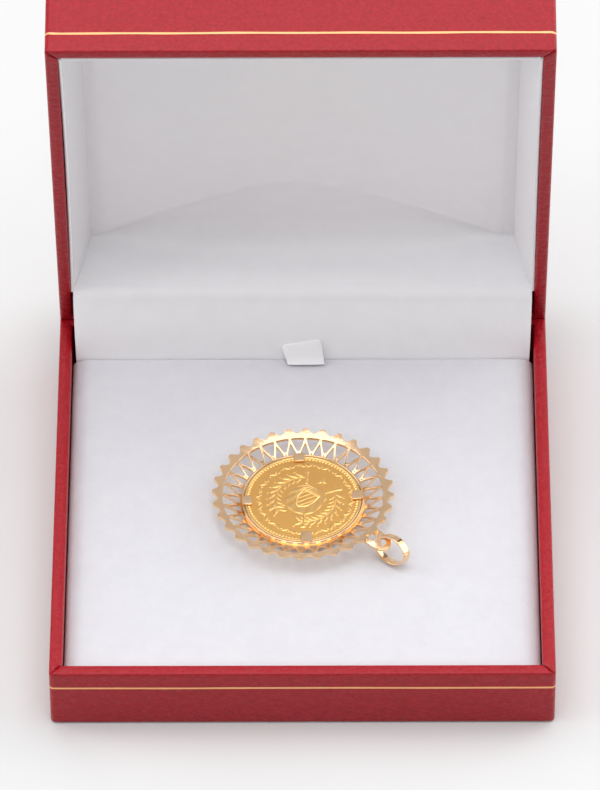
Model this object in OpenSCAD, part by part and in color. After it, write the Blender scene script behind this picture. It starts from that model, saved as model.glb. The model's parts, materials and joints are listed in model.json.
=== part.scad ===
// Coin pendant lying in its open presentation box. Millimetres, +Z up, +Y towards the hinge.
// The origin is the middle of the base's underside.

/* [Box] */
// Width of the box across the front
box_width = 89; // [80:0.5:110]
// Depth of the box from front to back
box_depth = 88.5; // [80:0.5:110]
// Height of the base
base_height = 12.75; // [12:0.25:20]
// Height of the lid
lid_height = 15.8; // [15:0.1:20]
// Thickness of the covered board walls
wall = 2.3; // [2:0.1:3]
// Thickness of the covered board panels
panel = 2; // [1.5:0.1:2]
// Radius of the upright corners
corner_radius = 1.2; // [0.6:0.1:2]
// How far the lid stands open from closed, in degrees
lid_open = 77.5; // [60:0.5:85]

/* [Lining] */
// Depth of the pad's face below the base's rim
pad_drop = 2.5; // [2:0.1:3]
// Space left behind the pad for the hinge
hinge_well = 6.3; // [6:0.1:8]
// Depth of the lid's satin ceiling below its rim
ceiling_depth = 12.65; // [11:0.05:12.65]
// How far the side linings lean in
lining_lean = 3.5; // [2:0.1:4]
// Width of the ribbon tab
ribbon_width = 7.2; // [5:0.1:10]

/* [Coin] */
// Diameter of the coin
coin_d = 21; // [20:0.1:22]
// Thickness of the coin at its rim
coin_t = 1.3; // [1.2:0.05:1.5]
// Height of the relief over the field
relief = 0.2; // [0.1:0.05:0.3]

/* [Mount] */
// Height of the bezel wall
bezel_height = 2.1; // [2:0.05:2.4]
// Thickness of the bezel wall
bezel_wall = 0.35; // [0.3:0.05:0.5]
// Diameter over the tips of the scallops
frame_d = 32.2; // [31.5:0.1:33]
// Height of the scalloped edge over the pad
edge_lift = 3.3; // [3:0.1:3.6]
// Thickness of the pierced plate
plate = 0.55; // [0.4:0.05:0.7]
// Width of the claws
claw_width = 2; // [1.6:0.1:2.4]

/* [Bail] */
// Width of the bail's band
bail_width = 1.5; // [1.3:0.1:1.6]
// Thickness of the bail's band
bail_band = 0.4; // [0.3:0.05:0.45]

/* [Hidden] */
$fn = 96;
far = 200;
gap = 0.3;

red = [0.62, 0.13, 0.17];
foil = [0.93, 0.72, 0.42];
velvet = [0.9, 0.9, 0.92];
satin = [0.82, 0.8, 0.83];
coin_gold = [0.9, 0.68, 0.32];
mount_gold = [0.86, 0.66, 0.48];
steel = [0.7, 0.7, 0.72];

// Box
hinge_inset = 1.25;
hinge_y = box_depth / 2 - hinge_inset;
hinge_z = base_height + gap / 2;
lid_rim_z = base_height + gap;
bevel = lid_open / 2 + 1;
foil_inset = 3.65;
foil_width = 0.35;
foil_sink = 0.15;
foil_proud = 0.03;
inner_width = box_width - 2 * wall;
front_inner = -box_depth / 2 + wall;
back_inner = box_depth / 2 - wall;
pad_top = base_height - pad_drop;
pad_back = back_inner - hinge_well;

// Hidden kerf hinge
barrel_r = 1;
pin_r = 0.45;
running = 0.08;
leaf = 0.6;
leaf_reach = 5;
knuckle = 6;
knuckles = 7;

// Lid lining
lining_start = 10;
lining_board = 1;
ceiling_face = ceiling_depth - 0.9;
ceiling_width = inner_width - 2 * lining_lean - 1;
cushion_board = 0.7;
arch_rise = 13;
arch_steps = 12;

// Satin cover over the hinge, from the pad's back edge up to the lining's back edge
satin_board = 0.8;
cover_width = inner_width - 2 * gap;
cover_foot = [pad_back + gap, pad_top + 0.1];
cover_slit = 1.7;
back_lining_start = 9;

// Pendant
coin_x = 0.05;
coin_y = -1.6;
rest = 0.05;
fit = 0.1;
coin_r = coin_d / 2;
coin_lift = bezel_height - coin_t;
rim_width = 0.45;
bezel_in = coin_r + fit;
bezel_out = bezel_in + bezel_wall;
tip_r = frame_d / 2;
scallops = 32;
pitch = 360 / scallops;
seam_z = 0.9;
seam_r = bezel_out + 0.2;
slope = (edge_lift - seam_z) / (tip_r - bezel_out);
node_r = 12.15;
band_in = 14;
bail_angle = -41.175;
first_scallop = bail_angle - pitch / 2;
claw_turn = 3.9;
claw_in = 9.25;
claw_t = 0.4;

// Eyelet and bail, with their places along and across the bail's direction
eye_wire = 0.85;
eye_r = 1.4;
eye_reach = 18.1;
eye_lift = 2.45;
eye_tilt = 20;
arm_wire = 0.8;
arm_start = 15.35;
bail_reach = 20.75;
bail_long = 3.95;
bail_short = 2.92;
bail_lean = 31.3;
bail_steps = 72;

// A plate with rounded upright corners
module rounded_plate(width, depth, height, radius) {
    linear_extrude(height) union() {
        square([width - 2 * radius, depth], center = true);
        square([width, depth - 2 * radius], center = true);
        for (x = [-1, 1], y = [-1, 1])
            translate([x * (width / 2 - radius), y * (depth / 2 - radius)]) circle(radius, $fn = 48);
    }
}

// A bar along X with the outline that is given in Y and Z
module bar_along_x(length, outline) {
    translate([-length / 2, 0, 0]) rotate([90, 0, 90]) linear_extrude(length) polygon(outline);
}

// Carries what is drawn closed to where the open lid holds it
module on_lid() {
    translate([0, hinge_y, hinge_z]) rotate([-lid_open, 0, 0]) translate([0, -hinge_y, -hinge_z]) children();
}

// The sloping cut along the back that lets the lid swing, above or below the parting plane
module back_bevel(side) {
    reach = hinge_inset + 1;
    bar_along_x(far, [
        [hinge_y, hinge_z],
        [hinge_y + reach, hinge_z - side * reach * tan(bevel)],
        [hinge_y + reach, hinge_z + side * reach],
        [hinge_y, hinge_z + side * reach]]);
}

// The round seat along the back wall that clears the hinge's barrel
module barrel_seat() {
    length = knuckle * knuckles + 2 * gap;
    translate([-length / 2, hinge_y, hinge_z]) rotate([0, 90, 0]) cylinder(r = barrel_r + 0.15, h = length);
}

// The saw kerf in a back wall that takes a hinge leaf
module leaf_kerf(side) {
    length = knuckle * knuckles + 2 * gap;
    thick = leaf + 0.1;
    depth = leaf_reach + 0.2;
    translate([-length / 2, hinge_y - thick / 2, side > 0 ? hinge_z : hinge_z - depth])
        cube([length, thick, depth]);
}

// A rectangular ring on the outside of the walls
module wall_band(z, height, inside, outside) {
    translate([0, 0, z]) difference() {
        rounded_plate(box_width + 2 * outside, box_depth + 2 * outside, height, corner_radius + outside);
        translate([0, 0, -1])
            rounded_plate(box_width - 2 * inside, box_depth - 2 * inside, height + 2, corner_radius - inside);
    }
}

module foil_line(z) {
    color(foil) wall_band(z, foil_width, foil_sink, foil_proud);
}

module foil_groove(z) {
    wall_band(z - 0.02, foil_width + 0.04, foil_sink + 0.02, 1);
}

module base_tray() {
    color(red) difference() {
        rounded_plate(box_width, box_depth, base_height, corner_radius);
        translate([0, 0, panel]) rounded_plate(inner_width, box_depth - 2 * wall, far, 0.6);
        back_bevel(1);
        barrel_seat();
        leaf_kerf(-1);
        foil_groove(base_height - foil_inset);
    }
}

module base_gold_line() {
    foil_line(base_height - foil_inset);
}

module pad() {
    depth = pad_back - front_inner - gap;
    color(velvet) translate([0, pad_back - depth / 2, panel + rest])
        rounded_plate(inner_width - 2 * gap, depth, pad_top - panel - rest, 0.8);
}

// A doubled ribbon that stands at the pad's back edge and leans back
module ribbon_tab() {
    tab_x = 0.9;
    tab_foot = 1.5;
    tab_length = 4.3;
    tab_lean = 27;
    color(velvet) translate([tab_x, pad_back - tab_foot, pad_top + 0.35]) rotate([-tab_lean, 0, 3])
        translate([-ribbon_width / 2, 0, 0]) cube([ribbon_width, 0.7, tab_length]);
}

// Where the open lid holds a point of its own section, at a distance from the hinge and above the rim
function opened(reach, height) = [
    hinge_y - reach * cos(lid_open) + (height + gap / 2) * sin(lid_open),
    hinge_z + reach * sin(lid_open) + (height + gap / 2) * cos(lid_open)];

// The strip that spans from the pad's back edge up to the lid's lining
module hinge_cover_base() {
    rise = opened(back_lining_start, 0) - cover_foot;
    color(satin) translate([0, cover_foot[0], cover_foot[1]]) rotate([atan2(rise[1], rise[0]), 0, 0])
        translate([-cover_width / 2, 0, -satin_board]) cube([cover_width, norm(rise) - cover_slit, satin_board]);
}

// The lining's back board, whose ends slant with the side linings
module lid_back_lining() {
    rim_half = inner_width / 2 - gap - lining_board - 0.2;
    head_half = rim_half - lining_lean + 0.3;
    back = hinge_y - back_lining_start;
    head = hinge_y - lining_start;
    color(satin) on_lid() translate([0, 0, lid_rim_z + 0.1]) intersection() {
        bar_along_x(far, [
            [back, 0], [back + lining_board, 0],
            [head + lining_board, ceiling_depth - 1], [head, ceiling_depth - 1]]);
        translate([0, far / 2, 0]) rotate([90, 0, 0]) linear_extrude(far) polygon([
            [-rim_half, -1], [rim_half, -1], [head_half, ceiling_depth], [-head_half, ceiling_depth]]);
    }
}

// Every other knuckle of the hinge with the leaf that carries it
module hinge_half(first, side) {
    start = -knuckle * knuckles / 2;
    for (i = [first : 2 : knuckles - 1]) {
        x = start + i * knuckle + running;
        length = knuckle - 2 * running;
        translate([x, hinge_y, hinge_z]) rotate([0, 90, 0]) difference() {
            cylinder(r = barrel_r, h = length, $fn = 48);
            translate([0, 0, -1]) cylinder(r = pin_r + running, h = length + 2, $fn = 48);
        }
        translate([x, hinge_y - leaf / 2, side > 0 ? hinge_z + barrel_r * 0.8 : hinge_z - leaf_reach])
            cube([length, leaf, leaf_reach - barrel_r * 0.8]);
    }
}

module hinge_base() {
    tie = 1.5;
    color(steel) union() {
        hinge_half(0, -1);
        translate([-knuckle * knuckles / 2 + running, hinge_y - leaf / 2, hinge_z - leaf_reach])
            cube([knuckle * knuckles - 2 * running, leaf, tie]);
        translate([-knuckle * knuckles / 2 + running, hinge_y, hinge_z]) rotate([0, 90, 0])
            cylinder(r = pin_r, h = knuckle * knuckles - 2 * running, $fn = 48);
        for (side = [-1, 1])
            translate([side * (knuckle * knuckles / 2 - running - 0.5) - 0.5, hinge_y, hinge_z])
                rotate([0, 90, 0]) cylinder(r = pin_r + 2 * running, h = 1, $fn = 48);
    }
}

module hinge_lid() {
    tie = 1.5;
    color(steel) on_lid() union() {
        hinge_half(1, 1);
        translate([-knuckle * (knuckles - 2) / 2 + running, hinge_y - leaf / 2, hinge_z + leaf_reach - tie])
            cube([knuckle * (knuckles - 2) - 2 * running, leaf, tie]);
    }
}

module lid_shell() {
    color(red) on_lid() difference() {
        translate([0, 0, lid_rim_z]) rounded_plate(box_width, box_depth, lid_height, corner_radius);
        translate([0, 0, lid_rim_z - far + lid_height - panel])
            rounded_plate(inner_width, box_depth - 2 * wall, far, 0.6);
        back_bevel(-1);
        barrel_seat();
        leaf_kerf(1);
        foil_groove(lid_rim_z + foil_inset - foil_width);
    }
}

module lid_gold_line() {
    on_lid() foil_line(lid_rim_z + foil_inset - foil_width);
}

// Half of the lining's section: it leans in from the rim to the ceiling
module leaning_board(length) {
    reach = inner_width / 2 - gap;
    translate([0, length / 2, 0]) rotate([90, 0, 0]) linear_extrude(length) polygon([
        [reach, 0], [reach - lining_board, 0],
        [reach - lining_board - lining_lean + 0.5, ceiling_depth], [reach - lining_lean + 0.5, ceiling_depth]]);
}

module lid_side_lining() {
    side_length = hinge_y - back_lining_start - front_inner - gap;
    side_middle = front_inner + gap + side_length / 2;
    color(satin) on_lid() translate([0, 0, lid_rim_z + 0.1]) union() {
        translate([0, side_middle, 0]) leaning_board(side_length);
        mirror([1, 0, 0]) translate([0, side_middle, 0]) leaning_board(side_length);
        translate([0, front_inner + inner_width / 2, 0]) rotate([0, 0, -90]) leaning_board(inner_width - 2.1);
    }
}

function arch(t) = arch_rise * (1 - pow(abs(t), 2.2));

// A padded cushion with an arched lower edge, on a board that runs on to the back lining
module lid_ceiling_pad() {
    half = ceiling_width / 2 - 0.6;
    front = front_inner + lining_lean + 1.3;
    back = hinge_y - lining_start;
    thickness = lid_height - panel - ceiling_face - gap;
    board_depth = back - front;
    color(satin) on_lid() translate([0, 0, lid_rim_z + ceiling_face]) union() {
        linear_extrude(thickness) polygon(concat(
            [[-half, front], [half, front]],
            [for (i = [0 : arch_steps]) let (t = 1 - 2 * i / arch_steps) [t * half, back - arch(t)]]));
        translate([-half, front, thickness - cushion_board]) cube([2 * half, board_depth, cushion_board]);
    }
}

// A point at a distance along a direction from the coin's centre and a distance across it
function polar(r, a, across = 0) = [r * cos(a) - across * sin(a), r * sin(a) + across * cos(a)];

module pendant_place() {
    translate([coin_x, coin_y, pad_top + rest]) children();
}

module coin_rim(z) {
    translate([0, 0, z]) difference() {
        cylinder(r = coin_r, h = relief);
        translate([0, 0, -1]) cylinder(r = coin_r - rim_width, h = relief + 2);
    }
}

// A ring of short teeth just inside the rim
module denticles() {
    teeth = 90;
    outer = coin_r - rim_width + 0.05;
    inner = outer - 0.45;
    step = 360 / teeth;
    linear_extrude(relief * 0.8) difference() {
        circle(outer);
        polygon([for (i = [0 : teeth - 1]) for (p = [[0, outer - 0.12], [0.42, outer - 0.12], [0.5, inner], [0.92, inner]])
            polar(p[1], (i + p[0]) * step)]);
    }
}

// A leaf that points along a direction, with its middle at a distance from the coin's centre
module leaf_shape(r, a, turn, length, width) {
    c = polar(r, a);
    translate([c[0], c[1]]) rotate(a + turn) polygon([
        [-length / 2, 0], [-length / 5, -width / 2], [length / 6, -width * 0.42], [length / 2, 0],
        [length / 6, width * 0.42], [-length / 5, width / 2]]);
}

// Leaves and pellets by turns, in the place of the words round the edge
module edge_ornament() {
    sprigs = 26;
    for (i = [0 : sprigs - 1]) {
        a = i * 360 / sprigs;
        leaf_shape(8.55, a, i % 2 == 0 ? 55 : -55, 1.5, 0.5);
        c = polar(8.5, a + 180 / sprigs);
        translate([c[0], c[1]]) circle(0.17, $fn = 24);
    }
}

shield_points = [[-2.1, 2.3], [2.1, 2.3], [2.1, 0], [1.75, -1.3], [1, -2.2], [0, -2.9], [-1, -2.2], [-1.75, -1.3], [-2.1, 0]];

module shield() {
    difference() {
        polygon(shield_points);
        scale(0.86) polygon(shield_points);
    }
    intersection() {
        scale(0.9) polygon(shield_points);
        for (i = [-1 : 1]) rotate(40) translate([-5, i * 1.25 - 0.3]) square([10, 0.5]);
    }
}

module laurel(side) {
    leaves = 8;
    for (i = [0 : leaves - 1]) {
        a = 90 + side * (38 + i * 15.5);
        leaf_shape(5.15, a, side * 62, 1.9, 0.75);
        leaf_shape(3.95, a + side * 6, side * 118, 1.5, 0.6);
    }
}

module star() {
    points = 5;
    translate([0, 4.6]) polygon([for (i = [0 : 2 * points - 1])
        let (r = i % 2 == 0 ? 1.05 : 0.42) [r * sin(i * 180 / points), r * cos(i * 180 / points)]]);
}

// Struck face with a plain shield between laurels, over a plain back
module coin() {
    field = coin_t - 2 * relief;
    color(coin_gold) pendant_place() translate([0, 0, coin_lift]) union() {
        translate([0, 0, relief]) cylinder(r = coin_r, h = field);
        coin_rim(0);
        coin_rim(relief + field);
        translate([0, 0, relief + field]) denticles();
        translate([0, 0, relief + field - 0.02]) linear_extrude(relief * 0.8) union() {
            edge_ornament();
            shield();
            laurel(1);
            laurel(-1);
            star();
        }
    }
}

// Scallop: how far across its middle and how far in from its tip each point of one side lies
scallop_side = [[0, 0], [0.4, 0.05], [0.62, 0.22], [0.7, 0.5], [0.75, 0.76], [0.93, 1], [1.2, 1.16]];

function scallop(a) = concat(
    [for (i = [len(scallop_side) - 1 : -1 : 1]) polar(tip_r - scallop_side[i][1], a, -scallop_side[i][0])],
    [for (p = scallop_side) polar(tip_r - p[1], a, p[0])]);

// Opening that is wide at the outer band and narrow towards the bezel
function outer_gap(a) = let (wide = band_in * sin(pitch / 2) - 0.26) concat(
    [polar(12.62, a, -0.1), polar(12.62, a, 0.1)],
    [for (t = [1, 0.85, 0.4, 0, -0.4, -0.85, -1])
        polar(band_in + (abs(t) == 1 ? -0.22 : 0.08 * (1 - abs(t))), a, t * wide)]);

// Opening that is wide at the bezel and narrow towards the outer band
function inner_gap(a) = [
    polar(seam_r + 0.08, a, -0.72), polar(seam_r + 0.02, a, -0.55), polar(seam_r + 0.02, a, 0.55),
    polar(seam_r + 0.08, a, 0.72), polar(11.72, a, 0.86), polar(node_r, a, 0.76), polar(12.5, a, 0.72),
    polar(13.3, a, 0.2), polar(13.42, a, 0), polar(13.3, a, -0.2), polar(12.5, a, -0.72),
    polar(node_r, a, -0.76), polar(11.72, a, -0.86)];

// A dished ring, as thick as the plate, that rises from the bezel to the scalloped edge
module dish() {
    inside = bezel_out - 0.15;
    outside = tip_r + 1;
    rotate_extrude($fn = 128) polygon([
        [inside, seam_z - 0.15 * slope], [outside, seam_z + (outside - bezel_out) * slope],
        [outside, seam_z + (outside - bezel_out) * slope + plate], [inside, seam_z - 0.15 * slope + plate]]);
}

module pierced_plate() {
    translate([0, 0, -plate / 2]) intersection() {
        dish();
        linear_extrude(10) difference() {
            polygon([for (i = [0 : scallops - 1]) each scallop(first_scallop + i * pitch)]);
            for (i = [0 : scallops - 1]) {
                polygon(outer_gap(first_scallop + (i + 0.5) * pitch));
                polygon(inner_gap(first_scallop + i * pitch));
            }
        }
    }
}

module bezel() {
    ledge = 0.55;
    difference() {
        cylinder(r = bezel_out, h = bezel_height);
        translate([0, 0, coin_lift - rest]) cylinder(r = bezel_in, h = far);
        translate([0, 0, -1]) cylinder(r = bezel_in - ledge, h = far);
    }
}

// Flat claws that stand on the bezel and fold over the coin
module claws() {
    over = bezel_height + rest;
    for (i = [0 : 3]) rotate(claw_turn + 90 * i) intersection() {
        rotate_extrude() polygon([
            [bezel_in + 0.04, bezel_height - 0.6], [bezel_out - 0.03, bezel_height - 0.6],
            [bezel_out - 0.03, over + claw_t * 0.55], [bezel_out - 0.25, over + claw_t],
            [claw_in + 0.1, over + claw_t * 0.9], [claw_in, over + claw_t * 0.6],
            [claw_in, over], [bezel_in + 0.04, over]]);
        translate([0, -claw_width / 2, 0]) cube([far, claw_width, far]);
    }
}

// A point of the eyelet in the pendant's frame: along the bail's direction, across it, and up
function eye_point(along, across, up) = concat(polar(along, bail_angle, across), [up]);

// Round wire between two points
module wire(from, to, d) {
    run = to - from;
    flat = norm([run[0], run[1]]);
    translate(from) rotate([0, atan2(flat, run[2]), atan2(run[1], run[0])]) cylinder(d = d, h = norm(run), $fn = 32);
}

// The looped end of the frame that holds the bail
module eyelet() {
    side = eye_r * cos(eye_tilt);
    drop = eye_r * sin(eye_tilt);
    seat_z = seam_z + (arm_start - bezel_out) * slope;
    rotate(bail_angle) translate([eye_reach, 0, eye_lift]) rotate([eye_tilt, 0, 0]) rotate([0, 0, -90])
        rotate_extrude(angle = 180, $fn = 64) translate([eye_r, 0]) circle(d = eye_wire, $fn = 32);
    for (s = [-1, 1]) {
        end = eye_point(eye_reach, s * side, eye_lift + s * drop);
        wire(eye_point(arm_start, s * (eye_r + 0.1), seat_z), end, arm_wire);
        translate(end) sphere(d = eye_wire * 1.04, $fn = 32);
    }
}

// Bezel, pierced plate, claws and eyelet, soldered into one piece
module pendant_frame() {
    color(mount_gold) pendant_place() union() {
        bezel();
        pierced_plate();
        claws();
        eyelet();
    }
}

function oval(long, short, n) = [for (i = [0 : n - 1]) [long * cos(i * 360 / n), short * sin(i * 360 / n)]];

// A loop of flat band that stands on its edge and hangs in the eyelet
module bail() {
    rise = norm([bail_long * sin(bail_lean), bail_short * cos(bail_lean)]) + 0.02;
    color(mount_gold) pendant_place() rotate(bail_angle) translate([bail_reach, bail_width / 2, rise])
        rotate([90, 0, 0]) rotate(bail_lean) linear_extrude(bail_width) difference() {
            polygon(oval(bail_long, bail_short, bail_steps));
            polygon(oval(bail_long - bail_band, bail_short - bail_band, bail_steps));
            for (a = [-33, 33]) rotate(a) translate([bail_long * 0.93, -0.08]) square([1, 0.16]);
        }
}

coin();
pendant_frame();
bail();
base_tray();
base_gold_line();
pad();
ribbon_tab();
hinge_cover_base();
hinge_base();
lid_shell();
lid_gold_line();
lid_side_lining();
lid_ceiling_pad();
lid_back_lining();
hinge_lid();
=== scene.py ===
"""A coin pendant that lies on the velvet pad of its open, red presentation box."""
import json
import math

import bmesh
import bpy
import numpy as np
from mathutils import Matrix, Vector


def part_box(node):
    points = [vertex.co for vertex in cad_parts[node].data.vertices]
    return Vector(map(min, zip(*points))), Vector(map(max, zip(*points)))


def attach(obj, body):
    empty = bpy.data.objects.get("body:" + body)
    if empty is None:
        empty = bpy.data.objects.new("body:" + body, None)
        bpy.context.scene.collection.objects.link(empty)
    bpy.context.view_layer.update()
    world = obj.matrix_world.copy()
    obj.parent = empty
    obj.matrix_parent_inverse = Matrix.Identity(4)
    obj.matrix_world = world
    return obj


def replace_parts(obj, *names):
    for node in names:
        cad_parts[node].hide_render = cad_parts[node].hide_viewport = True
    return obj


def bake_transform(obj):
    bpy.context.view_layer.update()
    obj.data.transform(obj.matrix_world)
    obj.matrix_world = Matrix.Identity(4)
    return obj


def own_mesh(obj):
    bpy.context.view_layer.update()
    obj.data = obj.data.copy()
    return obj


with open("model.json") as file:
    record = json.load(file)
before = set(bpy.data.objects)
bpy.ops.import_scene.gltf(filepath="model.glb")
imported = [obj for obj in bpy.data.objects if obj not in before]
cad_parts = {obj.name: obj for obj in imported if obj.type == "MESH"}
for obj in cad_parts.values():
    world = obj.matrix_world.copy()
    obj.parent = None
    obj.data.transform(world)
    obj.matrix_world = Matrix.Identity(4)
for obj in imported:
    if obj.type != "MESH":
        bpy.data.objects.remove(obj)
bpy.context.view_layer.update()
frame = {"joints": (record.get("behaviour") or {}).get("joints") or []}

# The lid
# It turns on a hinge hidden in the back walls and leans open over the base. Its pieces are drawn
# closed, in millimetres, with the rim downwards, and are then swung to where the open lid holds them.
MM = 0.001
lid_hinge = frame["joints"][0]
lid_open = math.radians(lid_hinge["range_deg"][1])
hinge_y, hinge_z = (part / MM for part in lid_hinge["pos_m"][1:])


def swing_open(points):
    """Closed places of the lid's points, as an array, turned to their open places."""
    y, z = points[:, 1] - hinge_y, points[:, 2] - hinge_z
    swung = points.copy()
    swung[:, 1] = hinge_y + y * math.cos(lid_open) + z * math.sin(lid_open)
    swung[:, 2] = hinge_z - y * math.sin(lid_open) + z * math.cos(lid_open)
    return swung


# The camera
# It looks down on the open box from the front through a long lens, and is rolled by about a third of
# a degree.
target = Vector((-0.0005, 0.0265, 0.010))
distance = 1.3664
azimuth, elevation, roll = (math.radians(angle) for angle in (-0.32, 45.95, -0.36))
view = Vector((
    math.sin(azimuth) * math.cos(elevation),
    math.cos(azimuth) * math.cos(elevation),
    -math.sin(elevation),
))
level = Vector((math.cos(azimuth), -math.sin(azimuth), 0))
upright = level.cross(view)
right = level * math.cos(roll) + upright * math.sin(roll)
up = upright * math.cos(roll) - level * math.sin(roll)
facing = Matrix((right, up, -view)).transposed().to_4x4()
camera = bpy.data.objects.new("camera", bpy.data.cameras.new("camera"))
camera.data.sensor_width = 36
camera.data.lens = 341.8
camera.data.clip_start = 0.1
camera.matrix_world = Matrix.Translation(target - view * distance) @ facing
bpy.context.scene.collection.objects.link(camera)
bpy.context.scene.camera = camera

# The table and the light
# The box stands on a pale table in a dim room. Three soft lights hang over it, and one stands at each
# side.
bpy.context.scene.view_settings.view_transform = "Standard"


def new_finish(name, colour, roughness, metallic=0.0):
    """A material and its shader, with its plain values set on the shader's own sockets."""
    finish = bpy.data.materials.new(name)
    finish.use_nodes = True
    shader = finish.node_tree.nodes["Principled BSDF"]
    shader.inputs["Base Color"].default_value = (*colour, 1)
    shader.inputs["Roughness"].default_value = roughness
    shader.inputs["Metallic"].default_value = metallic
    return finish, shader


def add_node(finish, kind, **values):
    """A node of a finish, with values for its inputs by name."""
    node = finish.node_tree.nodes.new(kind)
    for name, value in values.items():
        node.inputs[name].default_value = value
    return node


def noise_of(finish, scale, detail=3.0, roughness=0.5, stretch=(1, 1, 1)):
    """A noise in millimetres of the object: its features are about 1 / scale millimetres across."""
    place = add_node(finish, "ShaderNodeTexCoord")
    size = add_node(finish, "ShaderNodeMapping", Scale=[part / MM for part in stretch])
    noise = add_node(finish, "ShaderNodeTexNoise", Scale=scale, Detail=detail, Roughness=roughness)
    finish.node_tree.links.new(place.outputs["Object"], size.inputs["Vector"])
    finish.node_tree.links.new(size.outputs["Vector"], noise.inputs["Vector"])
    return noise.outputs["Fac"]


def mottle(finish, shader, source, low, high, edges=(0.3, 0.7)):
    """Colours the finish between two tones by a noise."""
    ramp = add_node(finish, "ShaderNodeValToRGB")
    for stop, edge, tone in zip(ramp.color_ramp.elements, edges, (low, high)):
        stop.position = edge
        stop.color = (*tone, 1)
    finish.node_tree.links.new(source, ramp.inputs["Fac"])
    finish.node_tree.links.new(ramp.outputs["Color"], shader.inputs["Base Color"])


def emboss(finish, shader, source, height, under=None):
    """Raises the finish by a noise, with the height in millimetres, over an earlier bump if there is one."""
    bump = add_node(finish, "ShaderNodeBump", Strength=1.0, Distance=height * MM)
    finish.node_tree.links.new(source, bump.inputs["Height"])
    if under:
        finish.node_tree.links.new(under.outputs["Normal"], bump.inputs["Normal"])
    finish.node_tree.links.new(bump.outputs["Normal"], shader.inputs["Normal"])
    return bump


table_finish, table_shader = new_finish("pale_table", (0.72, 0.705, 0.705), 0.75)
table_marks = noise_of(table_finish, 0.02)
mottle(table_finish, table_shader, table_marks, (0.71, 0.718, 0.718), (0.73, 0.738, 0.738))
table_reach, table_level = 3, -0.0002
table_corners = [
    (x * table_reach, y * table_reach, table_level)
    for x, y in ((-1, -1), (1, -1), (1, 1), (-1, 1))
]
table_mesh = bpy.data.meshes.new("table")
table_mesh.from_pydata(table_corners, [], [(0, 1, 2, 3)])
table_mesh.materials.append(table_finish)
table = bpy.data.objects.new("table", table_mesh)
bpy.context.scene.collection.objects.link(table)


def soft_light(name, place, aim, size, power):
    """A square soft light at a place that faces a point, in metres."""
    lamp = bpy.data.objects.new(name, bpy.data.lights.new(name, "AREA"))
    lamp.data.shape = "SQUARE"
    lamp.data.size = size
    lamp.data.energy = power
    lamp.location = place
    lamp.rotation_euler = (Vector(aim) - Vector(place)).to_track_quat("-Z", "Y").to_euler()
    bpy.context.scene.collection.objects.link(lamp)


soft_light("back_light", (0, 0.55, 0.95), (0, 0, 0), 1.1, 5.0)
soft_light("top_light", (0, -0.08, 1.1), (0, 0, 0), 1.0, 3.7)
soft_light("front_light", (0, -0.55, 0.95), (0, 0, 0), 1.2, 4.2)
soft_light("left_light", (-0.92, 0, 0.52), (0, 0, 0.1), 0.85, 5.6)
soft_light("right_light", (0.82, 0.26, 0.46), (0, 0, 0.03), 0.95, 5.8)
room = bpy.data.worlds.new("room")
room.use_nodes = True
room.node_tree.nodes["Background"].inputs["Color"].default_value = (0.96, 0.97, 1.0, 1)
room.node_tree.nodes["Background"].inputs["Strength"].default_value = 0.19
bpy.context.scene.world = room

# Covered trays
# The base and the lid are open trays of board, covered in fine-grained red leatherette. It is turned
# in over the rim and folded at the front corners. Behind the hinge both rims slant, for the lid's swing.
leatherette, leather_shader = new_finish("red_leatherette", (0.5, 0.01, 0.02), 0.3)
leather_marks = noise_of(leatherette, 1.5, 4, 0.6)
mottle(leatherette, leather_shader, leather_marks, (0.30, 0.003, 0.008), (0.43, 0.009, 0.020))
grain = emboss(leatherette, leather_shader, noise_of(leatherette, 0.7, 3), 0.22)
emboss(leatherette, leather_shader, noise_of(leatherette, 2.6, 3, 0.6), 0.08, under=grain)
leather_shader.inputs["Specular IOR Level"].default_value = 0.34

wall, panel, corner_radius, tightest_corner = 2.3, 2.0, 0.85, 0.12
_, base_high = (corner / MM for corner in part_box("base_tray"))
half_x, half_y, base_height = base_high
rim_gap, lid_height = 0.3, 15.8
lid_rim = base_height + rim_gap
steps_round = 8
side_shares = (0.004, 0.012, 0.025, *np.linspace(0.045, 0.955, 34), 0.975, 0.988, 0.996)
fold_reach, pinch_depth, pinch_width = 0.6, 0.55, 0.14
barrel_room, barrel_half, barrel_depth = 1.15, 21.4, 3


def tray_ring(inset):
    """Points round a tray at an inset from its outside, and how far each lies from the corner's fold."""
    radius = max(corner_radius - inset, tightest_corner)
    reach_x, reach_y = half_x - inset - radius, half_y - inset - radius
    corners = [(reach_x, -reach_y, -90), (reach_x, reach_y, 0)]
    corners += [(-reach_x, reach_y, 90), (-reach_x, -reach_y, 180)]
    points, fold = [], []
    for number, (x, y, start) in enumerate(corners):
        for step in range(steps_round + 1):
            angle = math.radians(start + 90 * step / steps_round)
            points.append((x + radius * math.cos(angle), y + radius * math.sin(angle)))
            fold.append((step / steps_round - 0.5) * radius * math.pi / 2)
        next_x, next_y, next_start = corners[(number + 1) % 4]
        first = np.array(points[-1])
        angle = math.radians(next_start)
        last = np.array((next_x + radius * math.cos(angle), next_y + radius * math.sin(angle)))
        for share in side_shares:
            points.append(tuple(first + (last - first) * share))
            near = min(share, 1 - share) * np.linalg.norm(last - first) + radius * 0.78
            fold.append(near if share < 0.5 else -near)
    return np.array(points), np.array(fold)


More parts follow.
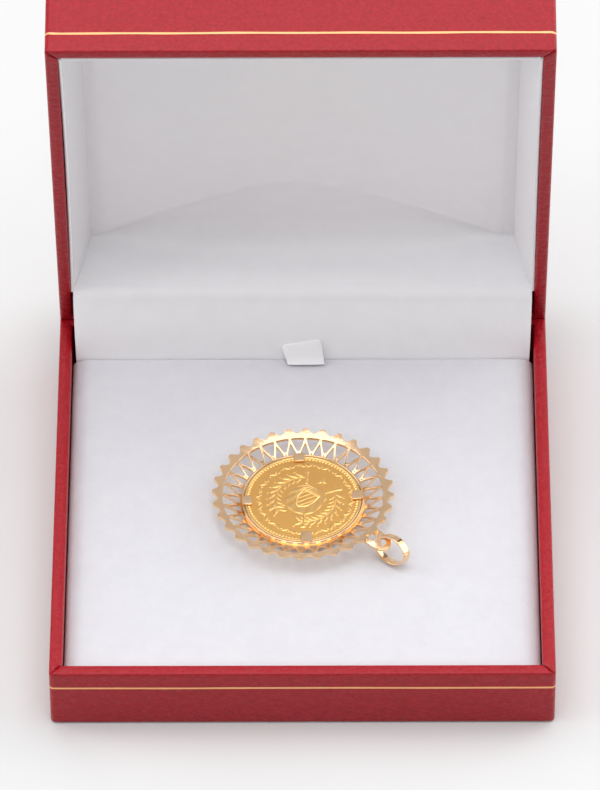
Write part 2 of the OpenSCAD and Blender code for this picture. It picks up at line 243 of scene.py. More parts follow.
def tray_section(height):
    """The tray's section from under its floor, up the outside, over the rim and down to the inside floor."""
    foot_round, lip_round, inner_round, floor_reach = 0.4, 0.42, 0.5, 8
    quarter = [math.radians(18 * step) for step in range(6)]
    section = [(floor_reach, 0), (3, 0)]
    for a in quarter:
        section.append((foot_round - foot_round * math.sin(a), foot_round - foot_round * math.cos(a)))
    section += [(0, height * 0.35), (0, height * 0.6), (0, height - 1.25)]
    for a in quarter:
        section.append((lip_round - lip_round * math.cos(a), height - lip_round + lip_round * math.sin(a)))
    section += [(0.75, height + 0.02), (1.05, height + 0.03), (1.25, height + 0.04), (1.5, height + 0.03)]
    for a in quarter:
        inset = wall - inner_round + inner_round * math.sin(a)
        section.append((inset, height - inner_round + inner_round * math.cos(a)))
    section += [(wall, panel + 2), (wall, panel + 0.5), (wall + 0.15, panel), (floor_reach, panel)]
    return section


def quad_grid(rows, columns, wrap=False):
    """The faces of a grid of points in rows, closed round its columns if wrap is set."""
    faces = []
    for row in range(rows - 1):
        for column in range(columns if wrap else columns - 1):
            here, beside = row * columns + column, row * columns + (column + 1) % columns
            faces.append((here, beside, beside + columns, here + columns))
    return faces


def capped_grid(rows, columns):
    """The faces of a stack of rings of points, with one over its first ring and one over its last."""
    faces = quad_grid(rows, columns, wrap=True)
    return faces + [tuple(range(columns)), tuple(range((rows - 1) * columns, rows * columns))]


def make_piece(name, points, faces, finish, body, keep_angle=None):
    """A mesh piece from points in millimetres, smooth but for edges sharper than keep_angle degrees."""
    mesh = bpy.data.meshes.new(name)
    mesh.from_pydata((np.asarray(points, float) * MM).tolist(), [], faces)
    mesh.materials.append(finish)
    shape = bmesh.new()
    shape.from_mesh(mesh)
    bmesh.ops.recalc_face_normals(shape, faces=shape.faces)
    shape.to_mesh(mesh)
    shape.free()
    mesh.shade_smooth()
    if keep_angle:
        mesh.set_sharp_from_angle(angle=math.radians(keep_angle))
    piece = bpy.data.objects.new(name, mesh)
    bpy.context.scene.collection.objects.link(piece)
    if body:
        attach(piece, body)
    return piece


def covered_tray(name, height, rim_line, body, node, lid=False):
    """One tray with its turned-in rim. rim_line is the hinge's height over the floor of the tray."""
    rings = []
    for inset, z in tray_section(height):
        flat, fold = tray_ring(inset)
        level_here = np.full(len(flat), float(z))
        if z > height - fold_reach:
            pinch = pinch_depth * np.exp(-(((fold + 0.05) / pinch_width) ** 2))
            lap = np.where(fold > 0, 0.08 * np.exp(-fold / 0.9), 0.03 * np.exp(fold / 1.6))
            at_rim = min(1, (z - height + fold_reach) / fold_reach)
            level_here += np.where(flat[:, 1] < 0, lap - pinch, 0) * at_rim
        behind = flat[:, 1] - hinge_y
        slant = rim_line - np.clip(behind, 0, None) * math.tan(lid_open / 2 + math.radians(1))
        level_here = np.where(behind > 0, np.minimum(level_here, slant), level_here)
        hollow = rim_line - np.sqrt(np.clip(barrel_room**2 - behind**2, 0, None))
        at_barrel = (np.abs(behind) < barrel_room) & (np.abs(flat[:, 0]) < barrel_half)
        at_barrel &= level_here > height - barrel_depth
        level_here = np.where(at_barrel, np.minimum(level_here, hollow), level_here)
        rings.append(np.column_stack((flat, level_here)))
    points = np.vstack(rings)
    if lid:
        points[:, 2] = lid_rim + height - points[:, 2]
        points = swing_open(points)
    faces = capped_grid(len(rings), len(rings[0]))
    tray = make_piece(name, points, faces, leatherette, body, 50)
    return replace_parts(tray, node)


covered_tray("base_cover", base_height, hinge_z, "base", "base_tray")
covered_tray("lid_cover", lid_height, lid_rim + lid_height - hinge_z, "lid", "lid_shell", lid=True)

# Gold lines
# A thin line of gold foil is stamped round each tray, just under 4 mm from its rim. Its width and its
# height waver a little.
foil, foil_shader = new_finish("gold_foil", (0.94, 0.53, 0.26), 0.55, 1.0)
emboss(foil, foil_shader, noise_of(foil, 4, 2), 0.03)
foil_inset, foil_width, foil_waver = 3.65, 0.41, 0.06
foil_section = ((-0.12, -1), (0.02, -1), (0.03, -0.4), (0.03, 0.4), (0.02, 1), (-0.12, 1))


def tube_grid(rows, columns):
    """The faces of rings of points, closed from the last ring to the first as well."""
    last = (rows - 1) * columns
    closing = [(last + c, last + (c + 1) % columns, (c + 1) % columns, c) for c in range(columns)]
    return quad_grid(rows, columns, wrap=True) + closing


def stamped_line(name, height, seed, body, node, lid=False):
    """A flat band of foil round a tray at a height, with a wavering edge."""
    flat, _ = tray_ring(0)
    outward = flat / np.array([half_x, half_y])
    outward = np.where(np.abs(outward) > 0.97, np.sign(outward), 0)
    outward /= np.maximum(np.linalg.norm(outward, axis=1, keepdims=True), 1)
    run = np.arange(len(flat))
    draws = np.random.default_rng(seed)
    wander = np.zeros(len(flat))
    for rate in (0.11, 0.31, 0.73):
        wander += draws.uniform(0.01, 0.035) * np.sin(run * rate + draws.uniform(0, 6))
    half = foil_width / 2 * (1 + foil_waver * np.sin(run * 1.3) + draws.uniform(-0.05, 0.05, len(run)))
    rings = []
    for out, side in foil_section:
        rings.append(np.column_stack((flat + outward * out, height + wander + side * half)))
    points = np.vstack(rings)
    if lid:
        points = swing_open(points)
    faces = tube_grid(len(rings), len(flat))
    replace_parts(make_piece(name, points, faces, foil, body, 60), node)


stamped_line("base_line", base_height - foil_inset, 3, "base", "base_gold_line")
stamped_line("lid_line", lid_rim + foil_inset + foil_width / 2, 8, "lid", "lid_gold_line", lid=True)

# The velvet pad
# A card pad covered in short white velvet fills the base. It is rounded over at its front and sides,
# and nearly square at its back.
velvet, velvet_shader = new_finish("white_velvet", (0.82, 0.82, 0.85), 0.9)
velvet_marks = noise_of(velvet, 0.35, 5, 0.65)
mottle(velvet, velvet_shader, velvet_marks, (0.68, 0.674, 0.712), (0.71, 0.704, 0.737))
nap = emboss(velvet, velvet_shader, noise_of(velvet, 0.8, 2), 0.06)
emboss(velvet, velvet_shader, noise_of(velvet, 5.5, 4, 0.7), 0.07, under=nap)
velvet_shader.inputs["Sheen Weight"].default_value = 0.25
velvet_shader.inputs["Sheen Roughness"].default_value = 0.4
velvet_shader.inputs["Specular IOR Level"].default_value = 0.15

pad_low, pad_high = (np.array(corner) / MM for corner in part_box("pad"))
pad_top, pad_back = pad_high[2], pad_high[1]
edge_round, back_round, edge_fall = 3.4, 0.35, 0.55
velvet_overlap, velvet_sink = 0.15, 0.06


def soft_noise(x, y, waves, draws):
    """A smooth wavering over a surface, as a sum of waves, each (length in mm, height in mm)."""
    total = np.zeros_like(x)
    for length, height in waves:
        for _ in range(3):
            turn, phase = draws.uniform(0, 6.28, 2)
            total += height * np.sin((x * np.cos(turn) + y * np.sin(turn)) * 6.28 / length + phase)
    return total


def spread(low, high, count):
    """Positions from low to high, closer together near the ends."""
    share = np.linspace(0, 1, count)
    share += 0.035 * np.sin(share * 2 * math.pi)
    edge = np.clip(share, 0, 1)
    return low + (high - low) * (edge - 0.115 * np.sin(edge * 2 * math.pi))


velvet_left, velvet_right = pad_low[0] - velvet_overlap, pad_high[0] + velvet_overlap
pad_x, pad_y = np.meshgrid(spread(velvet_left, velvet_right, 230), spread(pad_low[1], pad_back, 210))
inward = np.minimum(np.minimum(pad_x - velvet_left, velvet_right - pad_x), pad_y - pad_low[1])
inward = np.minimum(inward, (pad_back - pad_y) * edge_round / back_round)
drop = edge_round - np.sqrt(np.clip(edge_round**2 - np.clip(edge_round - inward, 0, None) ** 2, 0, None))
unevenness = soft_noise(pad_x, pad_y, ((24, 0.02), (7, 0.008)), np.random.default_rng(5))
pad_z = pad_top - velvet_sink - edge_fall * drop + unevenness
pad_points = np.column_stack((pad_x.ravel(), pad_y.ravel(), pad_z.ravel()))
rows, columns = pad_x.shape
pad_faces = quad_grid(rows, columns)
border = list(range(columns)) + [r * columns + columns - 1 for r in range(1, rows)]
border += [(rows - 1) * columns + c for c in range(columns - 2, -1, -1)]
border += [r * columns for r in range(rows - 2, 0, -1)]
skirt = pad_points[border]
skirt[:, 2] = pad_low[2]
first, around = len(pad_points), len(border)
pad_points = np.vstack((pad_points, skirt))
for number in range(around):
    after = (number + 1) % around
    pad_faces.append((border[number], first + number, first + after, border[after]))
pad_faces.append(tuple(range(first, first + around)))
velvet_pad = make_piece("velvet_pad", pad_points, pad_faces, velvet, "base", 60)
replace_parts(velvet_pad, "pad")

# The satin lining
# One piece of white satin covers the lid's ceiling, which is padded and ends in a soft arch. It goes
# on over the lid's back board, folds over that board's edge, and spans the hinge to the pad's back edge.
satin, satin_shader = new_finish("white_satin", (0.95, 0.94, 0.96), 0.42)
satin_marks = noise_of(satin, 0.25, 4)
mottle(satin, satin_shader, satin_marks, (0.905, 0.893, 0.915), (0.92, 0.912, 0.935))
folds = emboss(satin, satin_shader, noise_of(satin, 0.3, 2), 0.10)
emboss(satin, satin_shader, noise_of(satin, 7.0, 2, 0.5, (1, 0.35, 0.35)), 0.03, under=folds)
satin_shader.inputs["Sheen Weight"].default_value = 0.2
satin_shader.inputs["Sheen Roughness"].default_value = 0.3

ceiling_half, board_half, strip_half, foot_half = 38.3, 41.85, 42.0, 41.45
ceiling_depth, ceiling_top = 12.55, 84.3
corner_reach, crease_reach, crease_round = 10.0, 9.0, 3.6
arch_peak, arch_rise, arch_soft = -0.06, 16.5, 0.28
foot = np.array([pad_back + 0.06, pad_top - 0.1])
padding = 1.75
swells = ((0.75, -17, 13, 47, 17), (0.25, 14, 10, 72, 9))
corner_folds = ((33, 0.34, 4.5), (47, 0.28, 4.0), (62, 0.16, 4.0))
ceiling_rows, fold_steps, satin_overlap = 150, 18, 0.12
middle_sag, even_sag = 0.45, 0.2


def arch_edge(t):
    """How far from the hinge the padding ends, across the lid from -1 to 1."""
    side = np.where(t < arch_peak, (t - arch_peak) / (1 + arch_peak), (t - arch_peak) / (1 - arch_peak))
    fall = (np.sqrt(side**2 + arch_soft**2) - arch_soft) / (math.sqrt(1 + arch_soft**2) - arch_soft)
    return corner_reach + arch_rise * (1 - fall)


def smooth(x):
    """A soft step that leaves 0 at 0 and arrives at 1 at 1."""
    x = np.clip(x, 0, 1)
    return x * x * (3 - 2 * x)


def ceiling_height(t, reach):
    """How deep the satin ceiling lies over the lid's rim, across the lid from -1 to 1 and at a reach."""
    side = np.abs(t)
    pad_across = 1 - smooth((side - 0.92) / 0.08) * 0.45
    pad_along = smooth((ceiling_top - reach + 1.5) / 5) * (0.8 + 0.2 * smooth((reach - 15) / 25))
    ease = 1.1 + 5.5 * (1 - side) ** 0.8
    pad_end = smooth((reach - arch_edge(t)) / ease + 0.35)
    swell = padding * pad_across * pad_along * pad_end
    x = t * ceiling_half
    for height, middle, width, middle_reach, length in swells:
        swell += height * np.exp(-(((x - middle) / width) ** 2) - ((reach - middle_reach) / length) ** 2)
    toward = np.degrees(np.arctan2(reach - corner_reach, ceiling_half - x))
    far = np.hypot(ceiling_half - x, reach - corner_reach)
    for heading, height, width in corner_folds:
        pull = height * np.exp(-(((toward - heading) / width) ** 2))
        swell += pull * smooth(far / 5) * smooth((34 - far) / 20)
    return ceiling_depth - swell


def between_sides(depth):
    """Half the width between the side linings at a depth over the lid's rim."""
    return ceiling_half + (board_half - ceiling_half) * np.clip(1 - depth / ceiling_depth, 0, 1) ** 0.9


half_columns, crowding = 61, 0.985
across = np.linspace(-math.pi / 2, math.pi / 2, 2 * half_columns + 1) * crowding
across = np.sin(across) / math.sin(math.pi / 2 * crowding)
corner_round = 0.7 + 5.6 * (1 - np.abs(across) ** 2.5)


def row_across(half, second, third):
    """A row of the sheet's points: half its width, then its other two places, each even or point by point."""
    return np.column_stack(np.broadcast_arrays(across * half, second, third))


level_step = (corner_reach - crease_reach) / ceiling_depth
sheet_rows = []
for share in np.linspace(0, 1, ceiling_rows):
    reach = ceiling_top + (corner_reach + corner_round - ceiling_top) * share
    depth = ceiling_height(across, reach)
    sheet_rows.append(row_across(between_sides(depth) + satin_overlap, reach, depth))
below = ceiling_height(across, corner_reach + corner_round)
for step in range(1, fold_steps + 1):
    turn = math.radians(90 * step / fold_steps)
    reach = corner_reach + corner_round * (1 - math.sin(turn))
    depth = below - corner_round * (1 - math.cos(turn))
    half = between_sides(depth) + satin_overlap * (1 - step / fold_steps)
    sheet_rows.append(row_across(half, reach - (below - depth) * level_step, depth))
shelf = sheet_rows[-1][:, 2]
for share in np.linspace(0.08, 1, 16):
    depth = shelf * (1 - share) + crease_round * 0.5 * share
    reach = crease_reach + level_step * depth + 0.3 * np.sin(math.pi * share) * (1 - across**8)
    sheet_rows.append(row_across(between_sides(depth), reach, depth))
lid_rows = len(sheet_rows)
sheet = np.vstack(sheet_rows)
sheet_points = swing_open(np.column_stack((sheet[:, 0], hinge_y - sheet[:, 1], lid_rim + sheet[:, 2])))
crease = swing_open(np.array([[0.0, hinge_y - crease_reach, lid_rim]]))[0, 1:]
shelf_end = sheet_points[-len(across) :][half_columns, 1:]
down = (foot - crease) / np.linalg.norm(foot - crease)
strip_start = crease + down * crease_round * 0.5
strip_points = []
for share in np.linspace(0.1, 0.9, 9):
    place = shelf_end * (1 - share) ** 2 + 2 * share * (1 - share) * crease + strip_start * share**2
    strip_points.append(row_across(board_half, *place))
for share in np.linspace(0, 1, 30):
    half = board_half + (foot_half - board_half) * share
    place = strip_start + (foot - strip_start) * share
    sag = middle_sag * math.sin(math.pi * share) * (1 - across**6) + even_sag * math.sin(math.pi * share)
    strip_points.append(row_across(half, place[0] - sag * 0.9, place[1] + sag * 0.4))
for deeper in (0.5, 1.1, 1.8):
    strip_points.append(row_across(foot_half, foot[0] + 0.12 * deeper, foot[1] - deeper))
sheet_points = np.vstack((sheet_points, *strip_points))
satin_waves, satin_draws = ((22, 0.035), (9, 0.012)), np.random.default_rng(11)
sheet_points[:, 1] += soft_noise(sheet_points[:, 0], sheet_points[:, 2], satin_waves, satin_draws)
sheet_faces = quad_grid(lid_rows + len(strip_points), len(across))
satin_sheet = make_piece("satin_lining", sheet_points, sheet_faces, satin, None)


def give_thickness(piece, thickness, side):
    """Makes a sheet so many millimetres thick, towards one side of it for -1 and to both for 0."""
    layer = piece.modifiers.new("thickness", "SOLIDIFY")
    layer.thickness = thickness * MM
    layer.offset = side


def settle(piece):
    """Applies a piece's modifiers."""
    shaped = bpy.data.meshes.new_from_object(piece.evaluated_get(bpy.context.evaluated_depsgraph_get()))
    piece.modifiers.clear()
    piece.data = shaped


give_thickness(satin_sheet, 0.2, -1)
settle(satin_sheet)
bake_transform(satin_sheet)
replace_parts(satin_sheet, "lid_ceiling_pad", "lid_back_lining", "hinge_cover_base")

# Side linings
# Three narrow boards covered in satin lean in along the lid's sides and front, with a folded edge at
# the rim and a soft roll of satin where they meet the ceiling.
board_thick, fold_radius, roll_radius, board_rows = 1.0, 0.45, 0.6, 60


def lining_board(length, bow, bend):
    """One board along Y, against the wall at +X, drawn with the lid closed: its points and its faces."""
    lean = np.array([strip_half - ceiling_half - 0.2, ceiling_depth])
    lean_out = np.array([lean[1], lean[0]]) / np.linalg.norm(lean)
    rim = np.array([strip_half - 0.05, 0.15])
    head = rim + np.array([-lean[0], lean[1]])
    along = (head - rim) / np.linalg.norm(head - rim)
    section = [head + lean_out * board_thick, rim + np.array([fold_radius, 0.6])]
    for a in (math.radians(degrees) for degrees in (70, 40, 10, -20)):
        edge = along * math.cos(a) - lean_out * math.sin(a)
        section.append(rim + along * fold_radius - fold_radius * edge)
    for share in np.linspace(0.1, 0.93, 12):
        section.append(rim + (head - rim) * share - lean_out * (0.25 * math.sin(math.pi * share)))
    centre = head - along * 0.35 - lean_out * 0.12
    for a in (math.radians(degrees) for degrees in (-50, -20, 10, 40, 70, 100, 140)):
        section.append(centre + roll_radius * (along * math.sin(a) - lean_out * math.cos(a)))
    points = []
    for share in np.linspace(0, 1, board_rows):
        shift = bend * (share - 0.5) - bow * math.sin(math.pi * share) ** 0.8
        for x, z in section:
            near_rim = max(0, 1 - z / ceiling_depth)
            points.append((x + shift * near_rim, (share - 0.5) * length, lid_rim + z))
    return np.array(points), capped_grid(board_rows, len(section))


side_length = ceiling_top + 0.2 - crease_reach
side_middle = hinge_y - crease_reach - side_length / 2
for name, toward_side, bow in (("side_lining_right", 1, 0.16), ("side_lining_left", -1, 0.38)):
    points, faces = lining_board(side_length, bow, 0.1)
    points[:, 0] *= toward_side
    points[:, 1] += side_middle
    side = make_piece(name, swing_open(points), faces, satin, "lid", 60)
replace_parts(side, "lid_side_lining")
points, faces = lining_board(2 * strip_half - 1.5, 0.0, 0.0)
front_y = hinge_y - ceiling_top + strip_half - points[:, 0] - 0.2
points = np.column_stack((points[:, 1], front_y, points[:, 2]))
make_piece("side_lining_front", swing_open(points), faces, satin, "lid", 60)

# The ribbon tab
# A loop of white ribbon comes up behind the pad, folds over and lies forward, so that the pad can be
# lifted out.
ribbon, ribbon_shader = new_finish("white_ribbon", (0.86, 0.855, 0.87), 0.5)
emboss(ribbon, ribbon_shader, noise_of(ribbon, 6.0, 2, 0.5, (0.3, 1, 1)), 0.04)
ribbon_shader.inputs["Sheen Weight"].default_value = 0.3
tab_centre, tab_half, tab_columns = 0.62, 3.4, 17
tab_root, tab_height, tab_rise, tab_shift = 10.8, 2.6, 0.95, 0.76
route = [(35.95, 8.8), (36.0, 10.0), (36.2, 11.2), (36.5, 12.6), (36.62, 13.25), (36.5, 13.6), (36.2, 13.5)]
route += [(35.7, 13.0), (35.0, 12.2), (34.35, 11.45), (33.75, 11.0), (33.45, 10.88)]


def curve_through(knots, steps):
    """Points on a smooth curve through knots."""
    knots = np.array(knots, float)
    padded = np.vstack((2 * knots[0] - knots[1], knots, 2 * knots[-1] - knots[-2]))
    out = []
    for a, b, c, d in zip(padded, padded[1:], padded[2:], padded[3:]):
        for s in np.arange(steps) / steps:
            point = 2 * b + (c - a) * s + (2 * a - 5 * b + 4 * c - d) * s**2
            out.append(0.5 * (point + (3 * b - a - 3 * c + d) * s**3))
    return np.array([*out, knots[-1]])


tab_line = curve_through(route, 5)
tab_points = []
for back, height in tab_line:
    lift = np.clip((height - tab_root) / tab_height, 0, 1)
    for s in np.linspace(-1, 1, tab_columns):
        x = tab_centre + s * (tab_half + 0.2 * lift) - tab_shift * lift
        y = back - 0.15 * (1 - s**4) + 0.35 * lift * s
        tab_points.append((x, y, height + lift * (tab_rise * 0.5 * s - 0.5 * s**12)))
tab_faces = quad_grid(len(tab_line), tab_columns)
tab = make_piece("ribbon_loop", tab_points, tab_faces, ribbon, None)
give_thickness(tab, 0.22, 0)
rounded = tab.modifiers.new("rounding", "SUBSURF")
rounded.levels = rounded.render_levels = 1
settle(tab)
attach(tab, "base")
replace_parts(tab, "ribbon_tab")
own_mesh(tab)

# The coin
# Struck gold: a toothed rim, leaves and pellets round the edge, and a shield on a mantle over crossed
# rods, between laurels under a star. The relief is in the mesh; its high places are smoother, with a painted
# highlight.
coin_low, coin_high = (np.array(corner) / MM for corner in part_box("coin"))
coin_middle = (coin_low + coin_high) / 2
coin_rim, coin_edge = 0.13, 0.12
coin_radius, coin_face = coin_high[0] - coin_middle[0], coin_high[2] - coin_rim
coin_tilt = math.radians(-36)

gold, gold_shader = new_finish("coin_gold", (1.0, 0.6, 0.19), 0.34, 1.0)
place_on_coin = add_node(gold, "ShaderNodeTexCoord")
apart = add_node(gold, "ShaderNodeSeparateXYZ")
gold.node_tree.links.new(place_on_coin.outputs["Object"], apart.inputs["Vector"])
# Painted highlight: the relief's high places are coloured a lighter gold than the field, and they are also
# made smoother.
relief_low, relief_high = (coin_face + 0.02) * MM, (coin_face + 0.11) * MM
relief_highlight_and_polish = add_node(gold, "ShaderNodeMapRange", **{"From Min": relief_low, "From Max": relief_high})
gold.node_tree.links.new(apart.outputs["Z"], relief_highlight_and_polish.inputs["Value"])
mottle(gold, gold_shader, relief_highlight_and_polish.outputs["Result"], (0.98, 0.56, 0.17), (1.0, 0.68, 0.28), (0.0, 1.0))
polish = add_node(gold, "ShaderNodeMapRange", **{"To Min": 0.36, "To Max": 0.26})
gold.node_tree.links.new(relief_highlight_and_polish.outputs["Result"], polish.inputs["Value"])
gold.node_tree.links.new(polish.outputs["Result"], gold_shader.inputs["Roughness"])
emboss(gold, gold_shader, noise_of(gold, 1.6, 3), 0.02)


def turned(x, y, angle):
    """Coordinates as seen from axes turned by an angle."""
    return x * math.cos(angle) + y * math.sin(angle), y * math.cos(angle) - x * math.sin(angle)


def polar(radius, direction, aside=0.0):
    """A point at a radius along a direction in degrees, and so far aside from it."""
    a = math.radians(direction)
    return (radius * math.cos(a) - aside * math.sin(a), radius * math.sin(a) + aside * math.cos(a))


def depth_inside(x, y, corners):
    """How deep points lie inside an outline, and less than nothing outside it."""
    near, inside = np.full(x.shape, 99.0), np.zeros(x.shape, bool)
    for (ax, ay), (bx, by) in zip(corners, corners[1:] + corners[:1]):
        along_edge = (x - ax) * (bx - ax) + (y - ay) * (by - ay)
        run = np.clip(along_edge / ((bx - ax) ** 2 + (by - ay) ** 2), 0, 1)
        near = np.minimum(near, np.hypot(x - ax - run * (bx - ax), y - ay - run * (by - ay)))
        if ay != by:
            inside ^= ((ay > y) != (by > y)) & (x < (bx - ax) * (y - ay) / (by - ay) + ax)
    return np.where(inside, near, -near)


def both_sides(right_half):
    """An outline from the points of its right half, from the top down."""
    return right_half + [(-x, y) for x, y in reversed(right_half) if x]


def dome(distance, radius, height):
    """A round rise of a height within a radius, for pellets, knobs and rods."""
    return height * np.sqrt(np.clip(1 - (distance / radius) ** 2, 0, 1))


def pellet(x, y, middle, radius, height):
    """A round pellet on the coin."""
    return dome(np.hypot(x - middle[0], y - middle[1]), radius, height)


def leaf(x, y, radius, direction, turn, length, width, height):
    """A veined leaf on the coin, with its middle at a radius and a direction in degrees."""
    a = math.radians(direction)
    u, v = turned(x - radius * math.cos(a), y - radius * math.sin(a), a + math.radians(turn))
    u = u / (length / 2)
    half_width = width / 2 * np.clip(1 - u**2, 1e-6, 1) ** 0.8 * (1 - 0.25 * u)
    body = np.clip(1 - (v / half_width) ** 2, 0, 1) ** 0.5 * (np.abs(u) < 1)
    rib = 0.45 * np.exp(-((v / 0.05) ** 2)) * (np.abs(u) < 0.85)
    return height * np.clip(body - rib, 0, 1)


def toothed_rim(x, y):
    """The raised rim, with a ring of a hundred fine teeth inside it."""
    r, a = np.hypot(x, y), np.degrees(np.arctan2(y, x))
    rim = coin_rim * smooth((r - 10.02) / 0.08) * smooth((10.5 - r) / 0.12)
    tooth = 0.5 + 0.5 * np.cos(np.radians(a * 100))
    teeth = 0.15 * smooth((tooth - 0.3) * 2) * smooth((r - 9.6) / 0.1) * smooth((10.02 - r) / 0.06)
    return np.maximum(rim, teeth)


def edge_ornament(x, y):
    """Leaves that lean to and fro round the edge, with a pellet after each."""
    ring, leaves = 8.35, 36
    face = np.zeros_like(x)
    for number in range(leaves):
        way = number * 360 / leaves
        face = np.maximum(face, leaf(x, y, ring, way, 50 if number % 2 else -50, 1.35, 0.5, 0.11))
        face = np.maximum(face, pellet(x, y, polar(ring, way + 5), 0.17, 0.1))
    return face


def crossed_rods(x, y):
    """Two turned rods with a knob at each end."""
    face = np.zeros_like(x)
    for lean in (57, 123):
        along, off = turned(x, y, math.radians(lean))
        rod = dome(off, 0.16 + 0.05 * np.cos(along * 5), 0.1)
        face = np.maximum(face, rod * smooth((6.6 - np.abs(along)) / 0.1))
        for end in (6.7, -6.7):
            face = np.maximum(face, dome(np.hypot(along - end, off), 0.36, 0.12))
    return face


def laurels(x, y):
    """A bent stem at each side, with a row of leaves on both edges and a berry over each outer leaf."""
    face = np.zeros_like(x)
    for side in (1, -1):
        for number in range(10):
            way = 90 + side * (46 + number * 12.2)
            face = np.maximum(face, leaf(x, y, 6.05, way, side * 52, 1.5, 0.56, 0.12))
            face = np.maximum(face, leaf(x, y, 4.75, way + side * 5, side * 132, 1.25, 0.5, 0.11))
            face = np.maximum(face, pellet(x, y, polar(6.9, way + side * 6), 0.15, 0.09))
        beside = np.abs(side * (np.degrees(np.arctan2(y, x)) + 90 + 360) % 360 - 84) < 62
        face = np.maximum(face, 0.08 * np.exp(-(((np.hypot(x, y) - 5.4) / 0.07) ** 2)) * beside)
    return face


def struck_relief(x, y):
    """The height of the coin's face over its field."""
    face = toothed_rim(x, y)
    x, y = turned(x - 0.45, y + 0.05, coin_tilt)
    for ornament in (edge_ornament, crossed_rods, laurels):
        face = np.maximum(face, ornament(x, y))
    mantle = [(1.5, 3.4), (3.0, 2.3), (3.35, 0), (3.1, -2.0), (2.0, -3.3), (0, -3.8)]
    drape = depth_inside(x, y, both_sides(mantle))
    pleats = 0.03 * np.cos(np.arctan2(y - 4.6, x) * 26)
    face = np.where(drape > -0.2, (0.06 + pleats) * smooth((drape + 0.05) / 0.15), face)
    shield = [(1.75, 2.0), (1.75, 0.2), (1.5, -0.9), (0.85, -1.8), (0, -2.3)]
    depth = depth_inside(x, y, both_sides(shield))
    border = 0.14 * smooth((depth + 0.05) / 0.1) * smooth((0.3 - depth) / 0.1)
    _, slant = turned(x, y, math.radians(62))
    bends = 0.5 + 0.5 * np.cos((slant - 0.05) * 2 * math.pi / 0.85)
    inner = (0.01 + 0.05 * smooth((bends - 0.45) * 3)) * smooth((depth - 0.2) / 0.1)
    face = np.where(depth > -0.15, np.maximum(border, inner), face)
    star = []
    for number in range(10):
        arm, way = 0.44 if number % 2 else 1.1, number * math.pi / 5
        star.append((arm * math.sin(way), 5.2 + arm * math.cos(way)))
    return np.maximum(face, 0.12 * np.clip(depth_inside(x, y, star) / 0.35, 0, 1) ** 0.7)


angles = np.linspace(0, 2 * math.pi, 720, endpoint=False)


def coin_ring(radius, z):
    """A ring of the coin's points, at one height or with a height for each."""
    x, y = coin_middle[0] + radius * np.cos(angles), coin_middle[1] + radius * np.sin(angles)
    return np.column_stack(np.broadcast_arrays(x, y, z))


coin_rings = []
for radius in np.linspace(0.03, coin_radius - 0.14, 122):
    relief = struck_relief(radius * np.cos(angles), radius * np.sin(angles))
    coin_rings.append(coin_ring(radius, coin_face + relief))
for inset in (0.09, 0.05, 0.02, 0.0):
    fall = 0.1 * (1 - math.sqrt(1 - (1 - inset / coin_edge) ** 2))
    coin_rings.append(coin_ring(coin_radius - inset, coin_high[2] - fall))
for radius, rise in ((coin_radius, 0.1), (coin_radius - 0.1, 0), (9.9, 0), (9.8, 0.12)):
    coin_rings.append(coin_ring(radius, coin_low[2] + rise))
coin_faces = capped_grid(len(coin_rings), len(angles))
struck_coin = make_piece("struck_coin", np.vstack(coin_rings), coin_faces, gold, "base", 60)
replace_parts(struck_coin, "coin")

# The openwork plate
# A sheet of rose gold, sawn into scallops outside and into a lattice of fine bars inside, with a
# drilled hole at each knot. It is dished, so that it rises from the bezel to its scallops.
rose, rose_shader = new_finish("rose_gold", (0.98, 0.68, 0.4), 0.16, 1.0)
mottle(rose, rose_shader, noise_of(rose, 0.5, 3), (0.97, 0.66, 0.37), (0.99, 0.71, 0.44))
ripple = emboss(rose, rose_shader, noise_of(rose, 0.35, 2), 0.09)
emboss(rose, rose_shader, noise_of(rose, 3.5, 3, 0.6), 0.012, under=ripple)

pendant = np.array([coin_middle[0], coin_middle[1], pad_top + 0.05])
scallops, tip_radius, band_radius = 32, 16.3, 14.35
knot_radius, knot_hole = 11.72, 0.11
bezel_outside, bezel_inside = 10.95, 10.6
pitch = 360 / scallops
bail_way = -41.175
first_scallop = bail_way - pitch / 2
plate_thickness, plate_bevel, plate_lean = 0.55, 0.055, 0.018
dish_low, dish_rise, dish_reach, dish_bow = 0.9, 2.4, 5.15, 0.35


def scallop_edge():
    """The plate's scalloped outline."""
    side = [(0.24, 0.02), (0.42, 0.11), (0.56, 0.28), (0.7, 0.48), (0.88, 0.7), (1.14, 0.93), (1.4, 1.1)]
    knots = []
    for number in range(scallops):
        way = first_scallop + number * pitch
        knots += [polar(tip_radius - fall, way, -aside) for aside, fall in reversed(side)]
        knots += [polar(tip_radius, way)] + [polar(tip_radius - fall, way, aside) for aside, fall in side]
    return [tuple(p) for p in curve_through(knots, 2)[:-1]]


def wide_gap(way):
    """An opening that is wide at the outer band and narrows towards the bezel."""
    wide = band_radius * math.sin(math.radians(pitch / 2)) - 0.2
    foot_end = [(12.28, 0.3), (12.18, 0.14), (12.18, -0.14), (12.28, -0.3), (13.15, -0.76), (14.2, -wide)]
    points = [polar(radius, way, aside) for radius, aside in foot_end]
    for t in (-0.92, -0.6, -0.3, 0, 0.3, 0.6, 0.92):
        points.append(polar(band_radius + 0.08 * (1 - t * t), way, t * wide))
    return points + [polar(14.2, way, wide), polar(13.15, way, 0.76)]


def narrow_gap(way):
    """An opening that is wide at the bezel and ends in a point towards the outer band."""
    side = [(11.2, 0.55), (11.27, 0.68), (11.65, 0.76), (12.0, 0.68), (12.7, 0.4), (13.3, 0.13)]
    points = [polar(radius, way, -aside) for radius, aside in side] + [polar(13.5, way)]
    return points + [polar(radius, way, aside) for radius, aside in reversed(side)]


def ring_line(radius, count, middle=(0, 0)):
    """A circle as a list of points."""
    turns = [2 * math.pi * step / count for step in range(count)]
    return [(middle[0] + radius * math.cos(a), middle[1] + radius * math.sin(a)) for a in turns]


